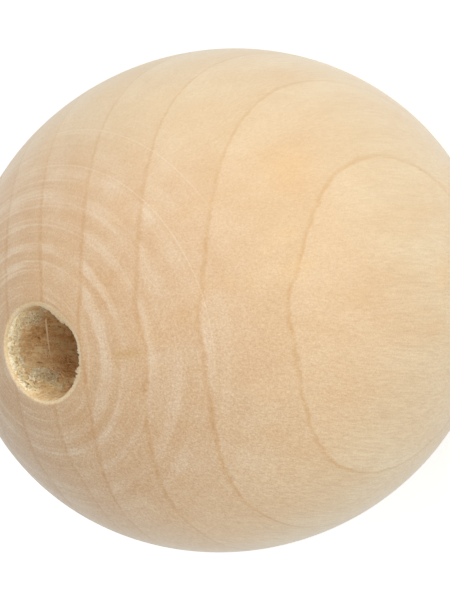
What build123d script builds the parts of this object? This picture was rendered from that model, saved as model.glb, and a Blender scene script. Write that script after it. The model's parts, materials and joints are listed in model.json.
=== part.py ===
"""A turned wooden bead: a ball drawn out a little along its bore, drilled right through.

Millimetres. The origin is the middle of the bead and +Z runs along the bore.
"""
import os
from math import acos, asin, cos, degrees, sin

from build123d import *

# Turned form
bead_diameter = 40.0  # across the belly, square to the bore
belly_radius = 32.5  # of the belly's curve seen from the side, flatter than the round ends
belly_length = 14.0  # along the bore, from one round end to the other

# Drilled bore and its two mouths
bore_diameter = 7.5
mouth_break = 0.3  # sharp edge taken off where the drill goes in and comes out
land_width = 0.2  # flat ring between the broken edge and the round end, on which the bead stands

# The belly's arc, centred beyond the bore's axis, as far up as the shoulder
bead_radius = bead_diameter / 2
belly_centre = bead_radius - belly_radius
belly_angle = asin(belly_length / 2 / belly_radius)
shoulder_radius = belly_centre + belly_radius * cos(belly_angle)

# The round end's arc, centred on the axis, carries on from the shoulder with no corner as far as the land
bore_radius = bore_diameter / 2
land_radius = bore_radius + mouth_break + land_width
end_radius = shoulder_radius / cos(belly_angle)
end_centre = belly_length / 2 - end_radius * sin(belly_angle)
land_angle = acos(land_radius / end_radius)
half_length = end_centre + end_radius * sin(land_angle)

# The half profile is turned about the bore's axis
with BuildPart() as bead:
    with BuildSketch(Plane.XZ):
        with BuildLine():
            CenterArc((belly_centre, 0), belly_radius, degrees(-belly_angle), degrees(2 * belly_angle))
            end_span = degrees(land_angle - belly_angle)
            upper_end = CenterArc((0, end_centre), end_radius, degrees(belly_angle), end_span)
            lower_end = CenterArc((0, -end_centre), end_radius, degrees(-belly_angle), -end_span)
            Polyline(upper_end @ 1, (0, half_length), (0, -half_length), lower_end @ 1)
        make_face()
    revolve(axis=Axis.Z)

    # The bore goes right through, and the smallest circles are then its two mouths
    Hole(bore_radius)
    mouths = bead.edges().filter_by(GeomType.CIRCLE).group_by(SortBy.RADIUS)[0]
    chamfer(mouths, mouth_break)

bead.part.label = "bead"
os.makedirs("parts", exist_ok=True)
export_step(bead.part, "parts/bead.step")
print("bead", bead.part.bounding_box().size, "volume", bead.part.volume)
print("round ends of radius", end_radius, "lands at", half_length)
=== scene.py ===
# %% [markdown]
# # A raw wooden bead
# This bead is turned on a lathe and drilled right through, then only sanded: no dye and no varnish. There is
# nothing to see but the wood, so the work goes into its grain and into the torn fibres of the bore.
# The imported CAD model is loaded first. It says how large the bead is and where it stands, and every size
# below is read from it or written next to the step that needs it.

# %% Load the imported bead
import json
from collections import namedtuple
from math import atan2, cos, exp, hypot, pi, radians, sin, sqrt
from random import Random

import bmesh
import bpy
from mathutils import Matrix, Quaternion, Vector, noise


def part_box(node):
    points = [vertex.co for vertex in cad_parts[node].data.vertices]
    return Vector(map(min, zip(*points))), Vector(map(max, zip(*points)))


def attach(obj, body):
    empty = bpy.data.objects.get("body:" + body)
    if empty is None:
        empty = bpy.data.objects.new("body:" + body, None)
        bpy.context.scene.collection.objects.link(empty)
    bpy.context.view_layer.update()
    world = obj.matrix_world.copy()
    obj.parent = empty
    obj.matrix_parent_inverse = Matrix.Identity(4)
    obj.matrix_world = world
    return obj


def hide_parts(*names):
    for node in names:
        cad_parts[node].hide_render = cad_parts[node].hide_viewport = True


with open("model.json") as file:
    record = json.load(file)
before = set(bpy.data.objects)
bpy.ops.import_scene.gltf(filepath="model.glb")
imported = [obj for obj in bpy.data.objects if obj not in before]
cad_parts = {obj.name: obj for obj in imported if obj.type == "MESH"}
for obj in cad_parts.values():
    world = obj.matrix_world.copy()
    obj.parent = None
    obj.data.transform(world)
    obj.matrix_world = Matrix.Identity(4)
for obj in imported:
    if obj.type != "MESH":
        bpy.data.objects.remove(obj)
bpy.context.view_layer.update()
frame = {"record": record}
mm = 0.001

bead_low, bead_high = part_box("bead")
bead_radius = bead_high[0]
half_length = bead_high[2]
bore_dims = next(mount["dims"] for mount in frame["record"]["mounts"] if mount["name"] == "bore")
bore_radius = bore_dims["r_mm"] * mm
mouth_break = half_length - bore_dims["length_mm"] * mm / 2
print("bead radius", bead_radius, "half length", half_length)
print("bore radius", bore_radius, "broken edge", mouth_break)

# %% [markdown]
# ## Camera
# The bead stands on one end of its bore, as it would on a table. The photograph looks at the upper end from
# the side and holds the camera almost on its side too, so the bore points to the left of the picture. Three
# angles say that: how far the line of sight leans from the bore, how far round the bead the camera stands,
# and how far it is rolled. The lens is long, because the outline shows almost no perspective.

# %% Place the camera
picture_height = 600
picture_centre = (225, 300)
bead_centre_pixel = (227.8, 300.2)
pixels_per_mm = 12.55
sight_lean = radians(43.4)
sight_turn = radians(13.3)
sight_roll = radians(105.9)
sight_length = 1.0
sensor_size = 36

to_camera = Vector((sin(sight_lean) * cos(sight_turn), sin(sight_lean) * sin(sight_turn), cos(sight_lean)))
facing = Quaternion(to_camera, -sight_roll) @ to_camera.to_track_quat("Z", "Y")
picture_right = facing @ Vector((1, 0, 0))
picture_up = facing @ Vector((0, 1, 0))
step_right = (picture_centre[0] - bead_centre_pixel[0]) / pixels_per_mm * mm
step_up = (bead_centre_pixel[1] - picture_centre[1]) / pixels_per_mm * mm

camera_data = bpy.data.cameras.new("camera")
camera_data.sensor_width = sensor_size
camera_data.lens = sensor_size * pixels_per_mm / mm * sight_length / picture_height
camera = bpy.data.objects.new("camera", camera_data)
camera.rotation_mode = "QUATERNION"
camera.rotation_quaternion = facing
camera.location = to_camera * sight_length + picture_right * step_right + picture_up * step_up
bpy.context.scene.collection.objects.link(camera)
bpy.context.scene.camera = camera
bpy.context.scene.view_settings.view_transform = "Standard"
print("lens", camera_data.lens, "right", picture_right, "up", picture_up)

# %% [markdown]
# ## Node helpers
# Every finish here is made of shader nodes. Wood needs many small sums, such as the distance from a point,
# and a Math node for each is hard to read in a script. So a Field stands for a number or colour that varies
# over the wood, and a plain sum on a Field adds the Math node that does it.

# %% Fields over the wood
def add_node(tree, kind, **settings):
    """A new node of this kind, with these settings."""
    node = tree.nodes.new(kind)
    for name, value in settings.items():
        setattr(node, name, value)
    return node


class Field:
    """A number or colour that varies over a surface: one output socket of a node tree."""

    def __init__(self, tree, socket):
        self.tree = tree
        self.socket = socket

    def calc(self, operation, *others):
        """The result of a Math node on this field and the others."""
        node = add_node(self.tree, "ShaderNodeMath", operation=operation)
        for socket, value in zip(node.inputs, (self, *others)):
            feed(socket, value)
        return Field(self.tree, node.outputs[0])

    def __add__(self, other):
        return self.calc("ADD", other)

    def __sub__(self, other):
        return self.calc("SUBTRACT", other)

    def __mul__(self, other):
        return self.calc("MULTIPLY", other)

    def __truediv__(self, other):
        return self.calc("DIVIDE", other)


def feed(socket, value):
    """Link the socket to a field, or set its own value."""
    if isinstance(value, Field):
        value.tree.links.new(value.socket, socket)
    else:
        socket.default_value = value


# %% Shaping a field
def span(field, start, end, first=0.0, last=1.0):
    """Go smoothly from first to last while the field goes from start to end."""
    node = add_node(field.tree, "ShaderNodeMapRange", interpolation_type="SMOOTHSTEP")
    names = ("Value", "From Min", "From Max", "To Min", "To Max")
    for name, value in zip(names, (field, start, end, first, last)):
        feed(node.inputs[name], value)
    return Field(field.tree, node.outputs["Result"])


def band(field, middle, half_width):
    """One at the middle of a narrow band, falling to nothing at its edges."""
    return span((field - middle).calc("ABSOLUTE"), 0.0, half_width, 1.0, 0.0)


def length_of(*fields):
    """The length of a step with these parts."""
    squares = [field * field for field in fields]
    total = squares[0]
    for square in squares[1:]:
        total = total + square
    return total.calc("SQRT")


def hand_curve(field, points, handle="AUTO"):
    """A curve through listed points, each a value of the field and a result."""
    low, high = points[0][0], points[-1][0]
    least = min(result for value, result in points)
    most = max(result for value, result in points)
    node = add_node(field.tree, "ShaderNodeFloatCurve")
    line = node.mapping.curves[0]
    while len(line.points) < len(points):
        line.points.new(0.5, 0.5)
    for dot, (value, result) in zip(line.points, points):
        dot.location = ((value - low) / (high - low), (result - least) / (most - least))
        dot.handle_type = handle
    node.mapping.update()
    feed(node.inputs["Value"], (field - low) / (high - low))
    return Field(field.tree, node.outputs[0]) * (most - least) + least


# %% Colours of a field
# The Mix node has sockets for numbers, vectors and colours. These are the ones for colours.
mix_inputs = (0, 6, 7)
mix_result = 2


def mix_colour(share, under, over, blend="MIX"):
    """Lay one colour over another by a share. At least one of the three is a field."""
    tree = next(value.tree for value in (share, under, over) if isinstance(value, Field))
    node = add_node(tree, "ShaderNodeMix", data_type="RGBA", blend_type=blend)
    for at, value in zip(mix_inputs, (share, under, over)):
        feed(node.inputs[at], value)
    return Field(tree, node.outputs[mix_result])


def tint_colour(share, colour, tint):
    """Multiply a share of the colour by a tint."""
    return mix_colour(share, colour, mix_colour(1.0, colour, tint, "MULTIPLY"))


def shade_colour(colour, tone, weights):
    """Make the colour lighter where the tone is above zero and darker where it is below. The weights say how
    much red, green and blue change: wood gets warmer as it gets darker, so blue changes most."""
    level = add_node(tone.tree, "ShaderNodeCombineColor")
    for socket, weight in zip(level.inputs, weights):
        feed(socket, tone * weight + 1.0)
    return mix_colour(1.0, colour, Field(tone.tree, level.outputs[0]), "MULTIPLY")


# %% [markdown]
# ## Floor and light
# The bead is shown on plain white in soft light. The floor and the surround look pure white to the camera,
# while the light that they give to the wood stays at a plain level, so that a colour renders about as it is
# written. The surround is brighter on the side that the picture shows at its right and top. Two large lamps
# stand there too, and a weak one by the camera, so the bead fades softly towards the other side.

# %% Pale floor
floor_reach = 600 * mm


def make_piece(name, mesh):
    """Turn a finished bmesh into an object that sits at the origin, with its place in its mesh."""
    data = bpy.data.meshes.new(name)
    mesh.to_mesh(data)
    mesh.free()
    piece = bpy.data.objects.new(name, data)
    bpy.context.scene.collection.objects.link(piece)
    return piece


floor_mesh = bmesh.new()
bmesh.ops.create_grid(floor_mesh, x_segments=1, y_segments=1, size=floor_reach)
bmesh.ops.translate(floor_mesh, vec=(0, 0, bead_low[2]), verts=floor_mesh.verts)
floor = make_piece("pale_floor", floor_mesh)
print("floor at", bead_low[2])

# %% Floor finish
floor_white = (0.9, 0.9, 0.9, 1)
floor_glow = 0.5


def new_tree(owner):
    """An empty node tree for a material or for the world."""
    owner.use_nodes = True
    owner.node_tree.nodes.clear()
    return owner.node_tree


def seen_directly(tree):
    """One for the rays that look at a surface, so that gloss shows the white background too."""
    path = add_node(tree, "ShaderNodeLightPath")
    names = ("Is Camera Ray", "Is Glossy Ray", "Is Transmission Ray")
    camera_ray, glossy_ray, clear_ray = [Field(tree, path.outputs[name]) for name in names]
    return camera_ray.calc("MAXIMUM", glossy_ray).calc("MAXIMUM", clear_ray)


def floor_paint():
    """White paint that takes the bead's shadow, with a glow for the rays that look at it."""
    material = bpy.data.materials.new("pale_floor")
    tree = new_tree(material)
    paint = add_node(tree, "ShaderNodeBsdfDiffuse")
    paint.inputs["Color"].default_value = floor_white
    glow = add_node(tree, "ShaderNodeEmission")
    feed(glow.inputs["Strength"], seen_directly(tree) * floor_glow)
    both = add_node(tree, "ShaderNodeAddShader")
    tree.links.new(paint.outputs[0], both.inputs[0])
    tree.links.new(glow.outputs[0], both.inputs[1])
    output = add_node(tree, "ShaderNodeOutputMaterial")
    tree.links.new(both.outputs[0], output.inputs["Surface"])
    return material


floor.data.materials.append(floor_paint())
print("floor finish has", len(floor.active_material.node_tree.nodes), "nodes")

# %% White surround
surround_light = 0.83
surround_slope = 0.42
bright_side = Vector((0.64, 0.43, -0.64))

world = bpy.data.worlds.new("white_surround")
bpy.context.scene.world = world
tree = new_tree(world)
surround = add_node(tree, "ShaderNodeBackground")
surround.inputs["Color"].default_value = (1, 1, 1, 1)
where = add_node(tree, "ShaderNodeTexCoord")
towards = add_node(tree, "ShaderNodeVectorMath", operation="DOT_PRODUCT")
towards.inputs[1].default_value = bright_side
tree.links.new(where.outputs["Generated"], towards.inputs[0])
light = Field(tree, towards.outputs["Value"]) * surround_slope + surround_light
feed(surround.inputs["Strength"], span(seen_directly(tree), 0, 1, light, 1))
output = add_node(tree, "ShaderNodeOutputWorld")
tree.links.new(surround.outputs[0], output.inputs["Surface"])
print("surround", surround_light, "and up to", surround_slope, "more or less")

# %% Soft lamps
lamp_side = 300 * mm
lamp_distance = 800 * mm
# Each lamp: its name, the direction that it stands in, and its watts.
lamps = (
    ("right_lamp", Vector((0.96, -0.05, 0.20)), 0.8),
    ("top_lamp", Vector((0.25, 0.95, 0.20)), 1.4),
    ("front_lamp", to_camera, 0.4),
)


def soft_lamp(name, direction, watts):
    """A large square lamp that looks at the bead from this direction."""
    direction = direction.normalized()
    data = bpy.data.lights.new(name, "AREA")
    data.size = lamp_side
    data.energy = watts
    lamp = bpy.data.objects.new(name, data)
    lamp.location = direction * lamp_distance
    lamp.rotation_mode = "QUATERNION"
    lamp.rotation_quaternion = direction.to_track_quat("Z", "Y")
    bpy.context.scene.collection.objects.link(lamp)
    return lamp


for name, direction, watts in lamps:
    lamp = soft_lamp(name, direction, watts)
    print(name, "at", lamp.location)

# %% [markdown]
# ## Turned form
# A lathe makes a body of revolution, and so does Spin: half of the bead's section, drawn once, goes round the
# bore. The crown follows an oval, cut out of a circle that is scaled and bisected. From the cut the section
# goes on over the flat land and the broken edge into the bore. Its rows lie close together near the mouths,
# because that is where the torn wood shows.

# %% Half section of the crown
land_width = 0.2 * mm
land_radius = bore_radius + mouth_break + land_width
oval_height = half_length / sqrt(1 - (land_radius / bead_radius) ** 2)
oval_points = 260
# Each cut of the oval: a point on it, and the side that is thrown away.
cuts = (((0, 0, half_length), (0, 0, 1)), ((0, 0, -half_length), (0, 0, -1)), ((0, 0, 0), (-1, 0, 0)))

bead_mesh = bmesh.new()
torn_layer = bead_mesh.verts.layers.float.new("torn")
bmesh.ops.create_circle(bead_mesh, radius=1, segments=oval_points)
bmesh.ops.scale(bead_mesh, vec=(bead_radius, oval_height, 1), verts=bead_mesh.verts)
bmesh.ops.rotate(bead_mesh, matrix=Matrix.Rotation(pi / 2, 3, "X"), verts=bead_mesh.verts)
for cut, outside in cuts:
    section = bead_mesh.verts[:] + bead_mesh.edges[:]
    bmesh.ops.bisect_plane(bead_mesh, geom=section, plane_co=cut, plane_no=outside, clear_outer=True)
print("crown drawn with", len(bead_mesh.verts), "points, oval", bead_radius, oval_height)

# %% Mouths and bore of the section
edge_points = 6
upper_rows = 100
lower_rows = 30
torn_reach = 9 * mm
middle_rows = 12


def draw_on(last, radius, height):
    """Carry the section on from its last point to a new one."""
    made = bmesh.ops.extrude_vert_indiv(bead_mesh, verts=[last])
    made["verts"][0].co = (radius, 0, height)
    return made["verts"][0]


def broken_edge(share):
    """Radius and height on the round that breaks the edge, from the land to the bore."""
    turn = share * pi / 2
    return bore_radius + mouth_break * (1 - sin(turn)), half_length - mouth_break * (1 - cos(turn))


upper_cut = max(bead_mesh.verts, key=lambda point: point.co.z)
lower_cut = min(bead_mesh.verts, key=lambda point: point.co.z)
bore_top = half_length - mouth_break
middle_half = bore_top - torn_reach
bore_heights = [bore_top - torn_reach * row / upper_rows for row in range(1, upper_rows + 1)]
bore_heights += [middle_half * (1 - 2 * row / middle_rows) for row in range(1, middle_rows)]
bore_heights += [-middle_half - torn_reach * row / lower_rows for row in range(lower_rows)]

point = upper_cut
for step in range(edge_points + 1):
    point = draw_on(point, *broken_edge(step / edge_points))
for height in bore_heights:
    point = draw_on(point, bore_radius, height)
for step in range(edge_points, -1, -1):
    radius, height = broken_edge(step / edge_points)
    point = draw_on(point, radius, -height)
bead_mesh.edges.new((point, lower_cut))
print("section has", len(bead_mesh.verts), "points")

# %% Spin the section round the bore
spin_steps = 320
weld_distance = 0.001 * mm

section = bead_mesh.verts[:] + bead_mesh.edges[:]
bmesh.ops.spin(
    bead_mesh, geom=section, cent=(0, 0, 0), axis=(0, 0, 1), angle=2 * pi, steps=spin_steps, use_merge=True
)
bmesh.ops.remove_doubles(bead_mesh, verts=bead_mesh.verts, dist=weld_distance)
bmesh.ops.recalc_face_normals(bead_mesh, faces=bead_mesh.faces)
print("bead has", len(bead_mesh.faces), "faces, volume", bead_mesh.calc_volume())

# %% [markdown]
# ## Torn bore
# A drill cuts across the fibres at some places of the wall and tears them out at others. So the wall has long
# grooves along the grain, pits, and rough patches where torn wood stands up. The edge of the mouth is ragged
# on one side, less cut on another and worn away on a third. A sculptor would push the wall about with a
# brush. Here noise that is drawn out along the grain does it, and a list of tears says where. How torn each
# point is stays on the mesh as an attribute for the material to read.

# %% Where the wood is torn
# A tear has a bearing round the bore, a depth below the mouth, its spread both ways, and its rise.
Tear = namedtuple("Tear", "bearing depth wide deep rise")
tears = (
    Tear(radians(180), 0.5 * mm, radians(12), 0.55 * mm, 0.25 * mm),
    Tear(radians(198), 0.5 * mm, radians(12), 0.6 * mm, 0.25 * mm),
    Tear(radians(222), 2.4 * mm, radians(11), 1.1 * mm, 0.30 * mm),
    Tear(radians(225), 0.5 * mm, radians(12), 0.5 * mm, 0.22 * mm),
    Tear(radians(141), 2.4 * mm, radians(12), 1.0 * mm, 0.18 * mm),
    Tear(radians(150), 0.5 * mm, radians(22), 0.6 * mm, 0.12 * mm),
    Tear(radians(243), 2.7 * mm, radians(6), 0.4 * mm, 0.25 * mm),
)
# The edge of a tear: where it lies, how uneven it is, and its noise's cells round the bore and down it.
tear_edge = 1.5
tear_unevenness = 0.6
edge_cells_round = 9
edge_cells_down = 1.2
# The layers of a noise: how fast the finer ones fade, how much finer each is, and how many there are.
edge_layers = (0.6, 2.2, 4)


def turn_between(bearing, other):
    """The shorter turn from one bearing to another."""
    return (bearing - other + pi) % (2 * pi) - pi


def torn_share(bearing, depth, tear):
    """One in the middle of a tear, falling off to nothing round it, with an uneven edge."""
    away = hypot(turn_between(bearing, tear.bearing) / tear.wide, (depth - tear.depth) / tear.deep)
    round_bore = (edge_cells_round * cos(bearing), edge_cells_round * sin(bearing))
    uneven = noise.fractal(Vector((*round_bore, edge_cells_down * depth / mm)), *edge_layers)
    return min(1.0, max(0.0, tear_edge - away + tear_unevenness * uneven))


# %% How the wall is pushed about
groove_depth = 0.12 * mm
pit_depth = 0.30 * mm
fuzz_middle = 0.5
# Each noise: its cells to the millimetre across the grain and along it, its shift, and its layers as above.
groove_cells = (1.5, 0.25)
groove_layers = (0.8, 2.1, 4)
patch_cells = (0.5, 0.30)
patch_shift = (7, 0, 0)
pit_cells = (2.4, 0.7)
pit_shift = (0, 11, 0)
pit_layers = (0.6, 2.2, 3)
fuzz_cells = (5.0, 1.6)
fuzz_layers = (0.4, 2.2, 3)


def wall_place(bearing, depth, cells, shift=(0, 0, 0)):
    """A place on the wall, measured in the cells of a noise."""
    across = Vector((bore_radius * cos(bearing), bore_radius * sin(bearing), 0)) / mm
    along = Vector((0, 0, depth / mm))
    return cells[0] * across + cells[1] * along + Vector(shift)


def wall_push(bearing, depth):
    """How far the wall is pushed outwards at this place, and how torn it is there."""
    groove = noise.fractal(wall_place(bearing, depth, groove_cells), *groove_layers)
    patch = max(0.0, noise.noise(wall_place(bearing, depth, patch_cells, patch_shift)))
    pit = noise.fractal(wall_place(bearing, depth, pit_cells, pit_shift), *pit_layers)
    push = groove_depth * groove + pit_depth * patch * pit
    fuzz = fuzz_middle + noise.fractal(wall_place(bearing, depth, fuzz_cells), *fuzz_layers)
    most = 0.0
    for tear in tears:
        share = torn_share(bearing, depth, tear)
        push -= tear.rise * share * max(0.0, fuzz)
        most = max(most, share)
    return push, most


# %% Where the mouth is ragged
tooth_length = 0.5 * mm
teeth_round = 73
ragged_bearing = radians(-20)
ragged_spread = radians(34)
flat_side_bearing = radians(58)
flat_side_spread = radians(22)
flat_side_push = 0.38 * mm
flat_side_teeth = 0.7
worn_side_bearing = radians(205)
worn_side_spread = radians(75)
worn_side_push = 0.24 * mm
worn_side_power = 4
# Noise makes the teeth drift round the mouth and differ in size.
drift_cells = 7
drift_layers = (0.6, 2.2, 3)
tooth_drift = 5
size_cells = 5
middle_size = 0.6
size_change = 0.9


def side_share(bearing, middle, spread, power=2):
    """One at the middle of a side of the mouth, falling off round it, later and faster by a higher power."""
    return exp(-((turn_between(bearing, middle) / spread) ** power))


def mouth_push(bearing):
    """How far the edge of the upper mouth stands into the bore: teeth on one side, a side that is less cut,
    and a side that is worn away."""
    round_mouth = Vector((cos(bearing), sin(bearing), 0))
    drift = tooth_drift * noise.fractal(drift_cells * round_mouth, *drift_layers)
    size = max(0.0, middle_size + size_change * noise.noise(size_cells * round_mouth))
    teeth = (0.5 + 0.5 * sin(teeth_round * bearing + drift)) * size
    ragged = side_share(bearing, ragged_bearing, ragged_spread)
    less_cut = side_share(bearing, flat_side_bearing, flat_side_spread)
    worn = side_share(bearing, worn_side_bearing, worn_side_spread, worn_side_power)
    ragged_push = tooth_length * teeth * (ragged + flat_side_teeth * less_cut)
    return ragged_push + flat_side_push * less_cut - worn_side_push * worn


# %% Tear the wall of the bore
edge_fade = 0.5 * mm
mouth_fade = 0.9 * mm
# Only this share of the broken edge moves with the wall. The land stays flat, for the bead to stand on.
moved_share = 0.98
# The lower end has the same noise, turned by so many radians.
lower_turn = 2

bore_faces = 0
for face in bead_mesh.faces:
    middle = face.calc_center_median()
    face.smooth = True
    if hypot(middle.x, middle.y) < bore_radius + mouth_break / 2 and abs(middle.z) < bore_top:
        face.material_index = 1
        bore_faces += 1
for point in bead_mesh.verts:
    across = hypot(point.co.x, point.co.y)
    if across > bore_radius + mouth_break * moved_share:
        continue
    outwards = Vector((point.co.x, point.co.y, 0)) / across
    bearing = atan2(point.co.y, point.co.x)
    depth = bore_top - abs(point.co.z)
    push, torn = wall_push(bearing if point.co.z > 0 else bearing + lower_turn, max(0.0, depth))
    push *= min(1.0, max(0.0, depth / edge_fade))
    if point.co.z > 0:
        point[torn_layer] = torn
        inside = 1 - (across - bore_radius) / mouth_break
        push -= mouth_push(bearing) * inside * exp(-max(0.0, depth) / mouth_fade)
    point.co += outwards * push
print("bore wall has", bore_faces, "faces")

# %% Bead piece
turned_bead = make_piece("turned_bead", bead_mesh)
print("bead box", [round(side / mm, 2) for side in turned_bead.dimensions])

# %% [markdown]
# ## Growth rings
# A tree's rings are cylinders round its pith, and the bead is cut from a plank with the bore along the grain.
# So one number, the distance from a pith that lies to one side of the bead, gives the rings all over: as
# nested ovals on the side and as near-straight lines across the ends. A Wave texture could draw rings too,
# but they would be evenly spaced and round. Here curves through listed points space the rings and push them
# about from place to place, and a fine noise along the fibres frays each line.

# %% Place in the wood
grain_lean = radians(12)
noise_middle = 0.5


def place_in_wood(tree):
    """Millimetres from the middle of the bead: the whole vector, and its three numbers."""
    where = add_node(tree, "ShaderNodeTexCoord")
    scaled = add_node(tree, "ShaderNodeMapping")
    scaled.inputs["Scale"].default_value = (1 / mm, 1 / mm, 1 / mm)
    tree.links.new(where.outputs["Object"], scaled.inputs["Vector"])
    parts = add_node(tree, "ShaderNodeSeparateXYZ")
    tree.links.new(scaled.outputs[0], parts.inputs[0])
    return Field(tree, scaled.outputs[0]), *[Field(tree, part) for part in parts.outputs]


def noise_field(place, detail, roughness):
    """Noise about zero, with cells one unit of the place wide."""
    node = add_node(place.tree, "ShaderNodeTexNoise", noise_dimensions="3D")
    feed(node.inputs["Vector"], place)
    node.inputs["Scale"].default_value = 1.0
    node.inputs["Detail"].default_value = detail
    node.inputs["Roughness"].default_value = roughness
    return Field(place.tree, node.outputs[0]) - noise_middle


def grain_noise(place, across, along, detail=2.0, roughness=0.5, shift=0.0):
    """Noise about zero, with so many cells to the millimetre across the fibres and along them. The fibres
    lean a little off the bore."""
    lean = add_node(place.tree, "ShaderNodeMapping")
    lean.inputs["Rotation"].default_value = (grain_lean, 0, 0)
    feed(lean.inputs["Vector"], place)
    stretch = add_node(place.tree, "ShaderNodeMapping")
    stretch.inputs["Scale"].default_value = (across, across, along)
    stretch.inputs["Location"].default_value = (shift, shift, shift)
    place.tree.links.new(lean.outputs[0], stretch.inputs["Vector"])
    return noise_field(Field(place.tree, stretch.outputs[0]), detail, roughness)


# %% Distance from the pith
pith_distance = 30.0
fray = 0.32
fine_fray = 0.12
# One ring bulges round a pinhead knot: how far, how wide to each side, and the ring's distance and reach.
knot_bulge = 0.75
bulge_half = 5.0
bulged_ring = (8.8, 2.6)
# How far the outer and the inner rings are pushed out, in millimetres, by the place along them, and the
# distance over which the outer ones take over.
outer_wobble = (
    (-20, 0.2), (-16, 0.0), (-11, -0.5), (-7, -0.35), (-1, -0.2), (2, -0.3), (4.5, 0.0), (12, 0.25), (20, 0.1)
)
inner_wobble = ((-20, 2.6), (-12, 1.5), (-8, 0.35), (-4, 0.2), (8, 0.0), (13, -0.4), (16, -0.8), (20, -2.4))
outer_start = (1.5, 4.5)


def ring_reach(place, x, y):
    """Distance from the pith beyond the bead's middle, in millimetres, with the rings' own unevenness."""
    reach = length_of(x + pith_distance, y) - pith_distance
    outer = span(reach, *outer_start)
    inner = span(reach, *outer_start, 1.0, 0.0)
    reach = reach - hand_curve(y, outer_wobble) * outer - hand_curve(y, inner_wobble) * inner
    reach = reach - band(y, 0.0, bulge_half) * band(reach, *bulged_ring) * knot_bulge
    coarse = grain_noise(place, across=0.9, along=0.1, detail=3.0, roughness=0.55)
    fine = grain_noise(place, across=4.0, along=0.5, roughness=0.6, shift=30.0)
    return reach + coarse * fray + fine * fine_fray


# %% Late wood
ring_places = (-20.5, -17.3, -14.0, -10.6, -7.0, -3.3, 0.75, 4.45, 8.75, 12.95, 17.35, 21.3)
# Late wood grows over this share of a ring, and it ends in a share past the line that is wider on the ends.
late_growth = (0.1, 0.97)
late_end = 0.03
late_end_wider = 0.06


def ring_share(reach):
    """Where a place is between one growth line, at 0, and the next one out, at 1."""
    count = hand_curve(reach, [(at, order) for order, at in enumerate(ring_places)], "VECTOR")
    return count.calc("FRACT")


def late_share(share, end_grain):
    """How much of the wood is late wood: least just outside a growth line, then more up to the next one."""
    ending = span(share, 0.0, end_grain * late_end_wider + late_end, 1.0, 0.0)
    return span(share, *late_growth).calc("MAXIMUM", ending)


# %% Ring colours
early_wood = (0.780, 0.560, 0.334, 1)
late_wood = (0.760, 0.534, 0.310, 1)
ring_line = (0.690, 0.430, 0.205, 1)
# A line starts at this share of a ring and ends at that share of the next one, and both move on the ends.
line_start = 0.965
line_start_move = -0.055
line_end = 0.025
line_end_move = 0.04
# How strong a line is: at its gaps and between them, by a noise, and from one flank to the other.
line_gaps = (0.5, 1.0)
gap_noise = (-0.2, 0.2)
line_flanks = (0.95, 0.7)
flank_change = (4.0, 14.0)


def ring_colour(place, y, share, late, end_grain):
    """Early and late wood with the growth lines between them. A line is warm and uneven, soft on both its
    sides, and wider where the fibres are cut across."""
    colour = mix_colour(late, early_wood, late_wood)
    uneven = grain_noise(place, across=0.8, along=0.12, detail=3.0, roughness=0.6, shift=21.0)
    strength = span(uneven, *gap_noise, *line_gaps) * span(y, *flank_change, *line_flanks)
    before = span(share, end_grain * line_start_move + line_start, 1.0)
    after = span(share, 0.0, end_grain * line_end_move + line_end, 1.0, 0.0)
    return mix_colour(before.calc("MAXIMUM", after) * strength, colour, ring_line)


# %% [markdown]
# ## Lathe marks
# Round the mouths the chisel fed outwards step by step and left pale and brown bands, and the sandpaper left
# fine rings and a few thin scratches between them. They could be cut into the mesh, but they are too shallow
# to change the outline, so they are colour alone. They all run round the lathe's axis, which was a little off
# the bore, so they depend on the distance from it, and a noise that changes with the bearing makes them fade
# in and out along the way.

# %% Bands and fine rings
lathe_axis = (-0.64, -0.11)
# Radius in millimetres and tone: pale above zero, brown below.
feed_bands = (
    (4.0, 0.0), (4.5, -0.7), (4.8, 0.3), (5.1, -0.6), (5.4, 0.4), (5.9, -0.9), (6.5, 0.9), (7.1, 1.0),
    (7.7, -0.8), (8.2, 1.0), (8.6, 0.5), (9.4, -0.7), (10.1, 0.6), (10.9, -0.5), (11.8, 0.7), (12.7, -0.5),
    (13.5, 0.6), (14.2, -0.1), (14.9, 0.3), (15.4, -0.5), (16.2, 0.1), (20.0, 0.0)
)
band_wander = 0.7
band_fade = (0.3, 1.0)
fade_noise = (-0.2, 0.15)
late_wood_take = 0.4
# The bands are deeper on one side of the axis. A side is told by x or y as a share of the radius.
plain_depth = 0.95
deep_side_more = 0.2
deep_side_middle = 0.3
deep_side_half = 0.9
deep_side_start = (0.0, 0.3)
# The fine rings are fainter on the smooth side.
fine_ring_depth = 4.5
smooth_side_share = 0.35
smooth_to_rough = (0.35, -0.15)
# The marks come in over these heights from the belly, and weaken over these radii.
mark_heights = (6.0, 15.0)
weak_radii = (11.0, 18.0)
weak_share = 0.3


def about_lathe(x, y):
    """A place seen from the lathe's axis: its two numbers and its radius."""
    x = x - lathe_axis[0]
    y = y - lathe_axis[1]
    return x, y, length_of(x, y)


def turned_noise(x, y, radius, around, outwards, detail, roughness):
    """Noise about zero that is drawn out round the lathe's axis: cells to a radian, and to a millimetre
    outwards."""
    turned = add_node(x.tree, "ShaderNodeCombineXYZ")
    for socket, value in zip(turned.inputs, (x / radius * around, y / radius * around, radius * outwards)):
        feed(socket, value)
    return noise_field(Field(x.tree, turned.outputs[0]), detail, roughness)


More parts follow.
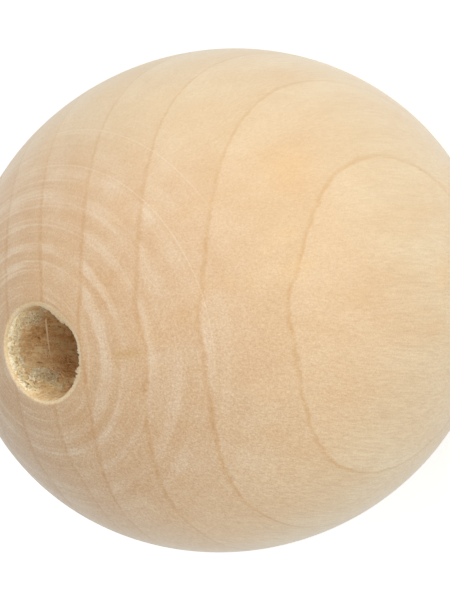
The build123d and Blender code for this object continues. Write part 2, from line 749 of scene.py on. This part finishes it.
def lathe_tone(x, y, z, late):
    """How pale or brown the lathe's marks make a place. The soft early wood takes them best."""
    x, y, radius = about_lathe(x, y)
    fading = turned_noise(x, y, radius, around=1.2, outwards=0.4, detail=2.0, roughness=0.5)
    fine = turned_noise(x, y, radius, around=1.0, outwards=4.5, detail=3.0, roughness=0.6)
    uneven = turned_noise(x, y, radius, around=2.5, outwards=1.2, detail=3.0, roughness=0.7)
    soft_wood = span(late, 0.0, 1.0, 1.0, late_wood_take)
    rough_side = span(x / radius, *smooth_to_rough, smooth_side_share, 1.0)
    deep_side = band(x / radius, deep_side_middle, deep_side_half)
    deep_side = deep_side * span(y / radius, *deep_side_start, 0.0, deep_side_more) + plain_depth
    bands = hand_curve(radius + uneven * band_wander, feed_bands) * span(fading, *fade_noise, *band_fade)
    tone = bands * soft_wood * deep_side + fine * rough_side * fine_ring_depth
    return tone * span(z.calc("ABSOLUTE"), *mark_heights) * span(radius, *weak_radii, 1.0, weak_share)


# %% Scratches
# Radius of each scratch, its bearing and how far it runs to both sides.
scratches = ((14.0, radians(50), radians(75)), (16.3, radians(75), radians(40)))
scratch_half_width = 0.07
scratch_full_run = 0.6


def scratch_share(x, y, z):
    """One along each thin scratch of the sandpaper on the upper half, fading out at its ends."""
    x, y, radius = about_lathe(x, y)
    bearing = y.calc("ARCTAN2", x)
    marks = []
    for at, middle, half in scratches:
        run = span((bearing - middle).calc("ABSOLUTE"), half * scratch_full_run, half, 1.0, 0.0)
        marks.append(band(radius, at, scratch_half_width) * run * span(z, 0.0, 1.0))
    return marks[0].calc("MAXIMUM", marks[1])


# %% [markdown]
# ## Sanded wood
# On the side of the bead the cut fibres lie along the surface as short streaks with a few dark pores; on the
# ends they are cut across and show as fine speckle, a little darker and pinker. A picture of wood would have
# to be wrapped round the bead and would show a seam. A noise that is drawn out along the grain runs right
# through the bead, as real fibres do, and gives both. A painted sheen makes the wood paler towards two lower
# corners and one flank, where the light falls, and painted shade makes it warmer on the far side. A pinhead
# knot sits beside the bore, a faint orange stain lies before one ring, and the broken edge of the mouth is
# pale, partly its own colour and partly a painted highlight.

# %% Painted sheen and shade on the sides
# Painted light: a pale bluish sheen towards the lit corners and flank, and a warmer painted shade on the far
# side.
painted_sheen_tint = (0.995, 1.07, 1.12, 1)
far_side_shade_tint = (1.04, 1.01, 0.94, 1)
# Two directions from the bead's middle, and the millimetres over which each tint comes in.
high_corner = Vector((0.50, 0.30, -0.80))
low_corner = Vector((0.40, -0.60, -0.70))
corner_reach = (5.0, 13.0)
flank_reach = (11.0, 18.0)
flank_share = 0.8
far_reach = (-6.0, -20.0)


def distance_along(direction, x, y, z):
    """How far a place lies from the bead's middle in this direction."""
    return x * direction.x + y * direction.y + z * direction.z


def paint_side_light(colour, x, y, z):
    """Painted sheen, paler towards two corners and one flank where the light falls, and painted shade,
    warmer, on the far side.
    """
    high = distance_along(high_corner, x, y, z)
    low = distance_along(low_corner, x, y, z)
    pale = span(high, *corner_reach).calc("MAXIMUM", span(y, *flank_reach, 0.0, flank_share))
    pale = pale.calc("MAXIMUM", span(low, *corner_reach))
    colour = tint_colour(pale, colour, painted_sheen_tint)
    return tint_colour(span(high, *far_reach), colour, far_side_shade_tint)


# %% Honey patches and the stain
honey = (0.81, 0.55, 0.285, 1)
honey_share = 0.6
honey_noise = (0.0, 0.25)
stain_middle = (14.4, 12.2, 7.0)
stain_reach = (2.6, 3.4, 3.6)
stain_colour = (0.80, 0.52, 0.25, 1)
stain_share = 0.5
spot_core = 0.1


def spot(x, y, z, middle, reach):
    """One in the middle of a spot, falling to nothing at its reach."""
    parts = [(field - at) / half for field, at, half in zip((x, y, z), middle, reach)]
    return span(length_of(*parts), spot_core, 1.0, 1.0, 0.0)


def warm_patches(colour, place, x, y, z):
    """Wood with broad patches of honey, and with the stain."""
    warm = grain_noise(place, across=0.2, along=0.07, detail=3.0, roughness=0.6, shift=17.0)
    colour = mix_colour(span(warm, *honey_noise, 0.0, honey_share), colour, honey)
    return mix_colour(spot(x, y, z, stain_middle, stain_reach) * stain_share, colour, stain_colour)


# %% Marks, knot and lip
pale_mark = (0.845, 0.69, 0.505, 1)
brown_mark = (0.65, 0.425, 0.24, 1)
mark_share = 0.52
mark_start = 0.2
mark_full = 1.2
scratch_paleness = 0.35
knot_middle = (7.8, -0.12, 20.6)
knot_reach = (2.2, 0.7, 2.6)
knot_colour = (0.64, 0.40, 0.18, 1)
knot_share = 0.7
# The lip of the broken edge: partly its own pale colour, partly a painted highlight on the edge.
lip_colour_and_highlight = (0.91, 0.72, 0.43, 1)
lip_radii = (4.0, 4.2)
lip_share = 0.7


def mark_wood(colour, x, y, z, late):
    """Wood with the lathe's bands, the scratches, the knot and the pale lip of the mouth, which is partly its
    own colour and partly a painted highlight.
    """
    tone = lathe_tone(x, y, z, late)
    colour = mix_colour(span(tone, -mark_start, mark_full, 0.0, mark_share), colour, pale_mark)
    colour = mix_colour(span(tone, mark_start, -mark_full, 0.0, mark_share), colour, brown_mark)
    colour = mix_colour(scratch_share(x, y, z) * scratch_paleness, colour, pale_mark)
    colour = mix_colour(spot(x, y, z, knot_middle, knot_reach) * knot_share, colour, knot_colour)
    return mix_colour(span(length_of(x, y), *lip_radii, lip_share, 0.0), colour, lip_colour_and_highlight)


# %% Wood shader
wood_gloss = 0.2
fuzz_roughness = 0.45
fuzz_tint = (0.86, 0.95, 0.98, 1)


def finish_wood(colour, roughness, height, relief_depth, fuzz):
    """A dull shader with this colour and relief. The sheen is the fuzz of sanded fibres."""
    tree = colour.tree
    relief = add_node(tree, "ShaderNodeBump")
    relief.inputs["Strength"].default_value = 1.0
    relief.inputs["Distance"].default_value = relief_depth
    feed(relief.inputs["Height"], height)
    wood = add_node(tree, "ShaderNodeBsdfPrincipled")
    wood.inputs["Specular IOR Level"].default_value = wood_gloss
    wood.inputs["Sheen Weight"].default_value = fuzz
    wood.inputs["Sheen Roughness"].default_value = fuzz_roughness
    wood.inputs["Sheen Tint"].default_value = fuzz_tint
    feed(wood.inputs["Base Color"], colour)
    feed(wood.inputs["Roughness"], roughness)
    tree.links.new(relief.outputs[0], wood.inputs["Normal"])
    output = add_node(tree, "ShaderNodeOutputMaterial")
    tree.links.new(wood.outputs[0], output.inputs["Surface"])


# %% Sanded wood material
end_heights = (8.0, 21.0)
end_tint = (0.915, 0.89, 0.935, 1)
fine_weights = (0.62, 1.0, 1.2)
broad_weights = (0.35, 0.8, 1.35)
# How strong the streaks and blotches are on the side, how much more on the ends, and, as painted shade and
# light, how the streaks change from flank to flank: deeper on the low, grazing-lit flank and washed out
# towards the top light.
streak_depth = 0.52
streak_end_more = 0.17
streak_shade_flanks = (1.15, 0.5)
streak_shade_places = (-14.0, 18.0)
blotch_depth = 0.34
blotch_end_more = 0.2
pore_depth = 0.15
pore_noise = (0.2, 0.3)
pore_end_limit = 0.6
dust_relief = 0.5
sanded_relief = 0.012 * mm
sanded_fuzz = 0.55
sanded_roughness = (0.62, 0.52)
streak_swing = (-0.2, 0.2)


def sanded_wood():
    """The wood of the whole outside: its rings, tints and marks, and the fine streaks over all of them."""
    material = bpy.data.materials.new("sanded_wood")
    place, x, y, z = place_in_wood(new_tree(material))
    share = ring_share(ring_reach(place, x, y))
    end_grain = span(z.calc("ABSOLUTE"), *end_heights)
    late = late_share(share, end_grain)
    colour = ring_colour(place, y, share, late, end_grain)
    colour = paint_side_light(colour, x, y, z)
    colour = warm_patches(colour, place, x, y, z)
    colour = tint_colour(end_grain, colour, end_tint)
    colour = mark_wood(colour, x, y, z, late)

    streaks = grain_noise(place, across=6.0, along=0.5, detail=3.0, roughness=0.65)
    dust = grain_noise(place, across=8.0, along=8.0, roughness=0.6, shift=4.0)
    blotches = grain_noise(place, across=0.35, along=0.12, detail=3.0, roughness=0.6, shift=13.0)
    pores = span(grain_noise(place, across=5.0, along=0.6, shift=40.0), *pore_noise)
    pores = pores * span(end_grain, 0.0, pore_end_limit, 1.0, 0.0)
    fine = (streaks + dust) * (end_grain * streak_end_more + streak_depth)
    # Painted shade and light: the streaks are deeper on the low, grazing-lit flank and fainter towards the
    # top.
    fine = fine * span(y, *streak_shade_places, *streak_shade_flanks) - pores * pore_depth
    colour = shade_colour(colour, fine, fine_weights)
    colour = shade_colour(colour, blotches * (end_grain * blotch_end_more + blotch_depth), broad_weights)

    roughness = span(streaks, *streak_swing, *sanded_roughness)
    finish_wood(colour, roughness, streaks + dust * dust_relief, sanded_relief, sanded_fuzz)
    return material


turned_bead.data.materials.append(sanded_wood())
print("sanded wood has", len(turned_bead.data.materials[0].node_tree.nodes), "nodes")

# %% [markdown]
# ## Torn wood of the bore
# Inside the bore the wood was never sanded. Where the drill cut it, the wall is tan with brown streaks down
# the grain; where it tore, the broken fibres are pale, and small dark cracks between them are painted shade
# of the gaps. The wall is paler near the mouth and browner deeper in, partly its own colour and partly
# painted light and shade. The attribute from the sculpting says which is which, and a noise makes the edge of
# each torn patch ragged.

# %% Bore material
cut_tan = (0.98, 0.74, 0.42, 1)
cut_brown = (0.86, 0.54, 0.26, 1)
# Paler near the mouth and browner deeper in: partly the wood's own colour, partly painted light by the mouth
# and painted shade in the bore.
mouth_cream_and_light = (0.90, 0.70, 0.41, 1)
torn_pale = (1.00, 0.88, 0.62, 1)
bore_weights = (0.75, 1.0, 1.35)
brown_to_tan = (-0.16, 0.12)
cream_and_light_heights = (18.0, 21.6)
cream_and_light_share = 0.6
# A patch is torn where the attribute and two noises, so weighted, pass a narrow step.
torn_weight = 1.4
speckle_weight = 1.2
patch_weight = 0.8
torn_step = (0.4, 0.6)
# The dark cracks are painted shade of the gaps between torn fibres.
crack_shade_noise = (0.08, 0.2)
crack_shade_height = 17.0
crack_shade_reach = 6.0
# How far each of these shades the wall, and the most that it may lighten.
speckle_depth = 1.2
torn_speckle_more = 1.6
patch_depth = 0.9
crack_shade_depth = 0.6
wall_lightness = 0.09
most_lightness = 0.22
raw_roughness = 0.8
bore_relief = 0.12 * mm
no_fuzz = 0.0


def torn_wood():
    """The wall of the bore: cut wood in tan and brown, and pale torn patches, with painted shade in cracks
    between the fibres and painted light and shade by depth.
    """
    material = bpy.data.materials.new("torn_wood")
    tree = new_tree(material)
    place, _, _, z = place_in_wood(tree)
    attribute = add_node(tree, "ShaderNodeAttribute", attribute_name="torn")
    torn = Field(tree, attribute.outputs["Fac"])
    streaks = grain_noise(place, across=3.5, along=0.35, detail=4.0, roughness=0.65, shift=5.0)
    patches = grain_noise(place, across=0.8, along=0.35, detail=3.0, roughness=0.6, shift=9.0)
    speckle = grain_noise(place, across=6.0, along=3.0, detail=3.0, roughness=0.7, shift=2.0)
    colour = mix_colour(span(streaks + patches, *brown_to_tan), cut_brown, cut_tan)
    # Painted light and shade by depth: cream near the mouth, the browner cut wood deeper in the bore.
    colour = mix_colour(span(z.calc("ABSOLUTE"), *cream_and_light_heights, 0.0, cream_and_light_share), colour, mouth_cream_and_light)
    ragged = span(torn * torn_weight + speckle * speckle_weight + patches * patch_weight, *torn_step)
    colour = mix_colour(ragged, colour, torn_pale)
    # Painted shade: small dark cracks between the torn fibres.
    gap_shade_noise = grain_noise(place, across=2.5, along=1.5, detail=3.0, roughness=0.7, shift=31.0)
    crack_shade = span(gap_shade_noise, *crack_shade_noise) * band(z, crack_shade_height, crack_shade_reach)
    tone = speckle * (ragged * torn_speckle_more + speckle_depth) + patches * patch_depth
    tone = tone - crack_shade * crack_shade_depth + wall_lightness
    colour = shade_colour(colour, tone.calc("MINIMUM", most_lightness), bore_weights)
    finish_wood(colour, raw_roughness, streaks + speckle, bore_relief, no_fuzz)
    return material


turned_bead.data.materials.append(torn_wood())
print("torn wood has", len(turned_bead.data.materials[1].node_tree.nodes), "nodes")

# %% [markdown]
# ## Torn fibres
# Where the drill tore the wood, loose fibres stand off the wall of the bore: pale tufts in the tears, and
# thin fibres and a few single whiskers further in. Hair could make them, but a few hundred small cones are
# plain meshes that every export keeps. Each is a thin three-sided cone, bent away from the wall, with its
# root in the wood. They are spread by a seeded dice, so every run gives the same bead.

# %% One straight fibre
dice = Random(7)
root_radius = 0.5
tip_radius = 0.2
fibre_cuts = 3

fibre_mesh = bmesh.new()
bmesh.ops.create_cone(fibre_mesh, segments=3, radius1=root_radius, radius2=tip_radius, depth=1, cap_ends=True)
bmesh.ops.translate(fibre_mesh, vec=(0, 0, 0.5), verts=fibre_mesh.verts)
long_sides = [edge for edge in fibre_mesh.edges if edge.verts[0].co.z != edge.verts[1].co.z]
bmesh.ops.subdivide_edges(fibre_mesh, edges=long_sides, cuts=fibre_cuts)
straight_fibre = fibre_mesh.verts[:] + fibre_mesh.edges[:] + fibre_mesh.faces[:]
print("one fibre has", len(fibre_mesh.faces), "faces")

# %% A torn fibre
# The share of its width by which a fibre's root is sunk in the wall.
root_share = 0.25


def raise_fibre(bearing, depth, length, width, lean, lift, curl):
    """A bent copy of the straight fibre with its root in the wall of the upper bore. lean turns it off the
    grain, lift raises it off the wall at its root, and curl bends its tip further. A fibre across the grain
    starts off steeper, because the wall rounds towards it."""
    copy = bmesh.ops.duplicate(fibre_mesh, geom=straight_fibre)
    points = [part for part in copy["geom"] if isinstance(part, bmesh.types.BMVert)]
    bmesh.ops.scale(fibre_mesh, vec=(width, width, length), verts=points)
    for point in points:
        point.co.x += curl * length * (point.co.z / length) ** 2
    lift += abs(sin(lean)) * length / bore_radius / 2
    inwards = Vector((-cos(bearing), -sin(bearing), 0))
    sideways = Vector((inwards.y, -inwards.x, 0))
    along = (Vector((0, 0, 1)) * cos(lean) + sideways * sin(lean)) * cos(lift) + inwards * sin(lift)
    across = along.cross(inwards).normalized()
    raised = across.cross(along)
    push = wall_push(bearing, depth)[0]
    root = -inwards * (bore_radius + push + width * root_share) + Vector((0, 0, bore_top - depth))
    turned = Matrix((raised, across, along)).transposed().to_4x4()
    bmesh.ops.transform(fibre_mesh, matrix=Matrix.Translation(root) @ turned, verts=points)


# %% Tufts in the tears
fibres_per_tear = 40
# Share of a tear's own spread.
tuft_spread = 0.7
least_depth = 0.7 * mm
for tear in tears:
    for number in range(fibres_per_tear):
        raise_fibre(
            bearing=dice.gauss(tear.bearing, tear.wide * tuft_spread),
            depth=max(least_depth, dice.gauss(tear.depth, tear.deep * tuft_spread)),
            length=dice.uniform(0.3, 0.7) * mm,
            width=dice.uniform(0.14, 0.32) * mm,
            lean=dice.gauss(0, 0.35),
            lift=dice.uniform(0.03, 0.3),
            curl=dice.uniform(-0.1, 0.3),
        )
print("tufts have", fibres_per_tear * len(tears), "fibres")

# %% Thin fibres further in
thin_fibres = 110
thin_bearing = radians(204)
thin_spread = radians(16)
for number in range(thin_fibres):
    raise_fibre(
        bearing=dice.gauss(thin_bearing, thin_spread),
        depth=dice.uniform(3.6, 7.5) * mm,
        length=dice.uniform(0.25, 0.7) * mm,
        width=dice.uniform(0.08, 0.15) * mm,
        lean=dice.gauss(0, 1.2),
        lift=dice.uniform(0.1, 0.4),
        curl=dice.uniform(-0.4, 0.5),
    )
print("there are", thin_fibres, "thin fibres")

# %% Single whiskers
# Each whisker: its bearing, depth, length and lean.
whiskers = (
    (radians(150), 3.9 * mm, 3.1 * mm, radians(92)),
    (radians(176), 4.4 * mm, 0.7 * mm, radians(150)),
    (radians(182), 4.3 * mm, 0.8 * mm, radians(-140)),
    (radians(190), 4.0 * mm, 0.9 * mm, radians(60)),
    (radians(214), 4.4 * mm, 1.0 * mm, radians(40)),
)
whisker_width = 0.20 * mm
whisker_lift = 0.05
whisker_curl = 0.05
for bearing, depth, length, lean in whiskers:
    raise_fibre(bearing, depth, length, whisker_width, lean, whisker_lift, whisker_curl)
bmesh.ops.delete(fibre_mesh, geom=straight_fibre, context="VERTS")
bmesh.ops.recalc_face_normals(fibre_mesh, faces=fibre_mesh.faces)
print("torn fibres have", len(fibre_mesh.faces), "faces")

# %% Fibre piece and its finish
# Partly painted shade: the fibres are browner deep in the bore, where shade falls, and pale by the mouth.
fibre_pale = (1.00, 0.87, 0.60, 1)
fibre_brown_and_shade = (0.84, 0.60, 0.34, 1)
fibre_shade_heights = (16.0, 20.0)
fibre_relief = 0.01 * mm


def loose_fibre():
    """Pale fibres by the mouth, browner ones deep in the bore: partly their own colour, partly painted shade
    of the bore.
    """
    material = bpy.data.materials.new("loose_fibre")
    place, _, _, z = place_in_wood(new_tree(material))
    streaks = grain_noise(place, across=3.0, along=1.0, shift=3.0)
    colour = mix_colour(span(z, *fibre_shade_heights) + streaks, fibre_brown_and_shade, fibre_pale)
    finish_wood(colour, raw_roughness, streaks, fibre_relief, no_fuzz)
    return material


torn_fibres = make_piece("torn_fibres", fibre_mesh)
torn_fibres.data.materials.append(loose_fibre())
print("fibre box", [round(side / mm, 2) for side in torn_fibres.dimensions])

# %% [markdown]
# ## Attach to the body
# Both pieces ride on the one body, and the turned bead stands for the CAD solid, which is hidden.

for piece in (turned_bead, torn_fibres):
    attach(piece, "root")
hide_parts("bead")
